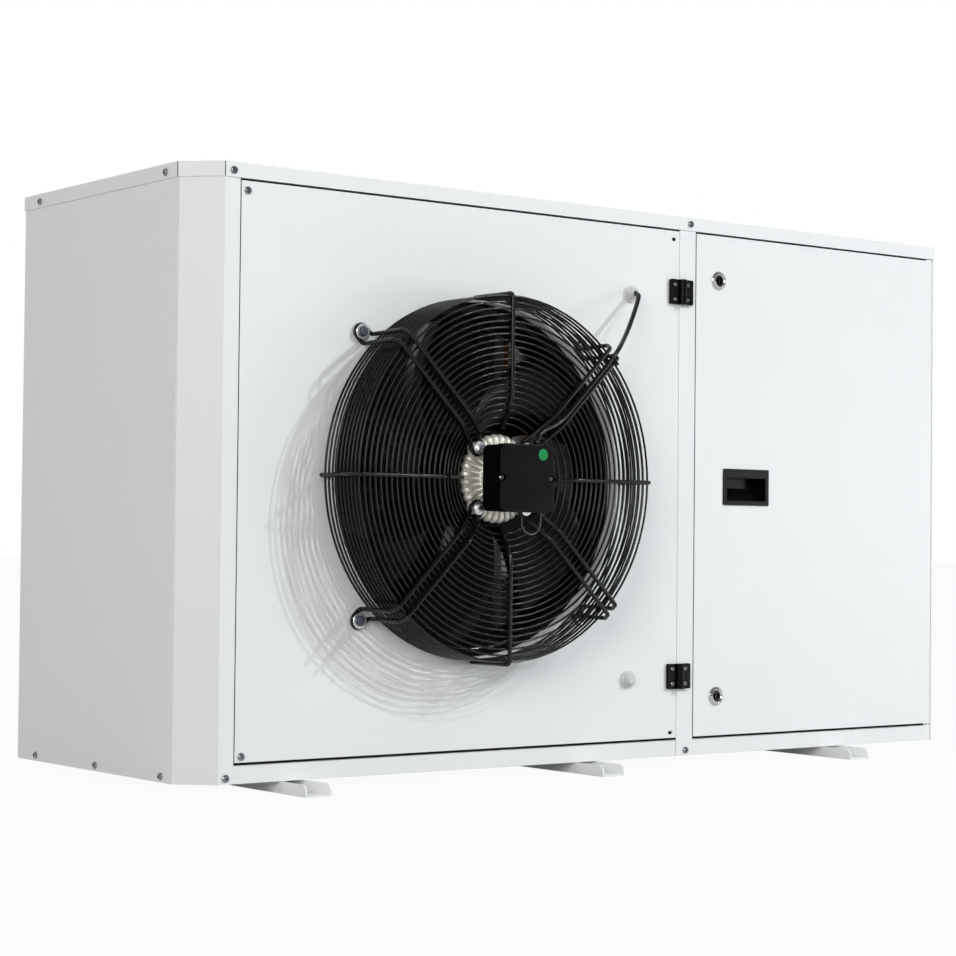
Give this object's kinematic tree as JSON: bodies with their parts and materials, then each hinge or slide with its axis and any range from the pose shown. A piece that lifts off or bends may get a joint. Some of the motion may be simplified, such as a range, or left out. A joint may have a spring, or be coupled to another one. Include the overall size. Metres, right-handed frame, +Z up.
{
  "type": "refrigeration condensing unit",
  "caption": "Outdoor condensing unit: a sheet-metal cabinet with a guarded axial fan on a hinged front panel, a locked service door, a finned coil and a compressor set inside.",
  "frame": {"origin": "on the floor, at the centre of the four fixing holes of the two outer rails", "axes": "+X to the unit's right seen from the front, +Y to the back, +Z up; the fan and the doors face -Y"},
  "size_m": [1.4323, 0.653, 0.816],
  "materials": {
    "cabinet_paint": "fine-textured pale grey powder coat",
    "galvanised_sheet": "galvanised, spangled",
    "zinc_screws": "zinc plated, bright",
    "coil_fins": "thin rolled fins, satin",
    "copper": "drawn copper tube, dull",
    "vessel_enamel": "black enamel, semi-gloss",
    "filter_paint": "blue powder coat",
    "foot_rubber": "moulded rubber",
    "black_plastic": "fine moulded grain",
    "valve_brass": "forged brass",
    "grey_plastic": "moulded",
    "switch_plastic": "moulded",
    "gland_plastic": "moulded nylon",
    "pin_steel": "ground",
    "wire_enamel": "black, semi-gloss",
    "cast_flange": "die cast, satin",
    "lead_sheath": "smooth black sheath",
    "grommet_rubber": "pale grey rubber",
    "fan_paint": "black, glossy",
    "lock_chrome": "chrome-plated zinc"
  },
  "bodies": {
    "cabinet": {"floor_rails": "cabinet_paint", "base_tray": "cabinet_paint", "lid": "cabinet_paint", "left_panel": "cabinet_paint", "corner_post": "cabinet_paint", "centre_post": "cabinet_paint", "partition": "galvanised_sheet", "right_panel": "cabinet_paint", "rear_panel": "cabinet_paint", "cabinet_screws": "zinc_screws", "condenser_coil": "coil_fins", "coil_end_plates": "galvanised_sheet", "coil_bends": "copper", "coil_headers": "copper", "compressor": "vessel_enamel", "compressor_feet": "foot_rubber", "compressor_cover": "black_plastic", "receiver": "vessel_enamel", "receiver_strap": "galvanised_sheet", "filter_drier": "filter_paint", "discharge_pipe": "copper", "suction_pipe": "copper", "liquid_pipes": "copper", "service_valves": "valve_brass", "control_box": "galvanised_sheet", "control_cover": "grey_plastic", "pressure_switch": "grey_plastic", "supply_gland": "gland_plastic", "hinge_post_leaves": "black_plastic", "hinge_post_screws": "zinc_screws", "hinge_pins": "pin_steel", "door_pivots": "galvanised_sheet"},
    "main_switch": {"main_switch": "switch_plastic"},
    "fan_door": {"fan_panel": "cabinet_paint", "fan_ring": "galvanised_sheet", "guard_front": "wire_enamel", "guard_skirt": "wire_enamel", "guard_arms": "wire_enamel", "guard_bolts": "zinc_screws", "motor_flange": "cast_flange", "motor_bolts": "zinc_screws", "motor_shaft": "pin_steel", "terminal_box": "black_plastic", "terminal_cover": "black_plastic", "terminal_screws": "zinc_screws", "fan_lead": "lead_sheath", "cable_grommet": "grommet_rubber", "blank_grommet": "grommet_rubber", "hinge_panel_leaves": "black_plastic", "hinge_panel_screws": "zinc_screws", "panel_screws": "zinc_screws"},
    "impeller": {"rotor": "fan_paint", "fan_blades": "fan_paint"},
    "service_door": {"service_door": "cabinet_paint", "door_handle": "black_plastic", "lock_bodies": "lock_chrome"},
    "lock_upper": {"lock_insert_upper": "lock_chrome"},
    "lock_lower": {"lock_insert_lower": "lock_chrome"}
  },
  "joints": [
    {"name": "fan_door_hinge", "type": "hinge", "parent": "cabinet", "child": "fan_door", "pos_m": [0.172, -0.2433, 0.416], "axis": [0, 0, 1], "range_deg": [0, 110]},
    {"name": "impeller_spin", "type": "hinge", "parent": "fan_door", "child": "impeller", "pos_m": [-0.211, -0.237, 0.416], "axis": [0, 1, 0], "continuous": true},
    {"name": "service_door_hinge", "type": "hinge", "parent": "cabinet", "child": "service_door", "pos_m": [0.7203, -0.233, 0.416], "axis": [0, 0, 1], "range_deg": [0, 110]},
    {"name": "lock_upper_turn", "type": "hinge", "parent": "service_door", "child": "lock_upper", "pos_m": [0.25, -0.225, 0.726], "axis": [0, 1, 0], "range_deg": [0, 90]},
    {"name": "lock_lower_turn", "type": "hinge", "parent": "service_door", "child": "lock_lower", "pos_m": [0.25, -0.225, 0.102], "axis": [0, 1, 0], "range_deg": [0, 90]},
    {"name": "main_switch_turn", "type": "hinge", "parent": "cabinet", "child": "main_switch", "pos_m": [0.2835, -0.1485, 0.706], "axis": [0, 1, 0], "range_deg": [0, 90]}
  ]
}
